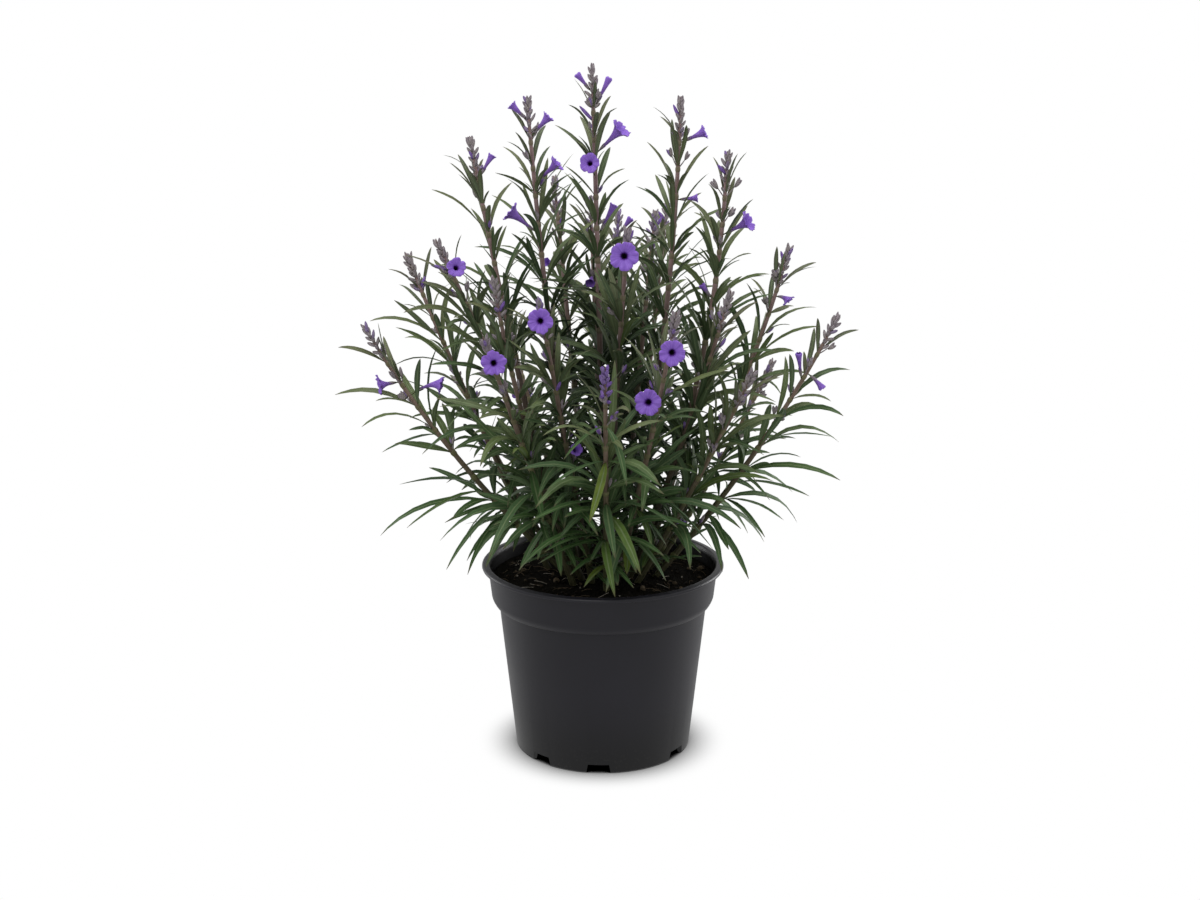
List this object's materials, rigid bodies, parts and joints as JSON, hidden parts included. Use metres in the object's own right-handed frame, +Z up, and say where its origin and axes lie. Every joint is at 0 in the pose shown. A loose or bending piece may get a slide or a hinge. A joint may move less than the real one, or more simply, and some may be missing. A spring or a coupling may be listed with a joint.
{
  "type": "potted ruellia",
  "caption": "Bushy flowering perennial with upright leafy stems, narrow leaves, bud spikes and violet trumpet flowers, in a round black nursery container with a notched foot.",
  "frame": {"origin": "middle of the container's foot, on the surface it stands on", "axes": "+Z up, -Y towards the picture's viewer, +X to the right in the picture"},
  "size_m": [0.5663, 0.4888, 0.779],
  "materials": {
    "nursery_plastic": "satin black polypropylene with fine mould marks",
    "potting_soil": "moist near-black bark and peat mix, fully matte",
    "foliage": "dark green leaves with a paler midrib",
    "stem_bark": "mauve-brown stem skin, olive towards the soil",
    "buds": "grey-purple downy buds and calyces",
    "petals": "soft matte violet petals with a dark throat",
    "loose_bits": "bark, fibres, perlite and pebbles on the soil"
  },
  "bodies": {
    "root": {"pot": "nursery_plastic", "potting_soil": "potting_soil", "flower_01": "petals", "flower_02": "petals", "flower_03": "petals", "flower_04": "petals", "flower_05": "petals", "flower_06": "petals", "flower_07": "petals", "flower_08": "petals", "flower_09": "petals", "flower_10": "petals", "flower_11": "petals", "flower_12": "petals", "flower_13": "petals", "flower_14": "petals", "flower_15": "petals", "flower_16": "petals", "flower_17": "petals", "flower_18": "petals", "flower_19": "petals", "flower_20": "petals", "flower_21": "petals", "flower_22": "petals", "flower_23": "petals", "flower_24": "petals", "flower_25": "petals", "flower_26": "petals", "flower_27": "petals", "flower_28": "petals", "flower_29": "petals", "flower_30": "petals", "leafy_stem_01": "foliage", "leafy_stem_02": "foliage", "leafy_stem_03": "foliage", "leafy_stem_04": "foliage", "leafy_stem_05": "foliage", "leafy_stem_06": "foliage", "leafy_stem_07": "foliage", "leafy_stem_08": "foliage", "leafy_stem_09": "foliage", "leafy_stem_10": "foliage", "leafy_stem_11": "foliage", "leafy_stem_12": "foliage", "leafy_stem_13": "foliage", "leafy_stem_14": "foliage", "leafy_stem_15": "foliage", "leafy_stem_16": "foliage", "leafy_stem_17": "foliage", "leafy_stem_18": "foliage", "leafy_stem_19": "foliage", "leafy_stem_20": "foliage", "leafy_stem_21": "foliage", "leafy_stem_22": "foliage", "leafy_stem_23": "foliage", "leafy_stem_24": "foliage", "leafy_stem_25": "foliage", "leafy_stem_26": "foliage", "leafy_stem_27": "foliage", "leafy_stem_28": "foliage"}
  },
  "joints": []
}
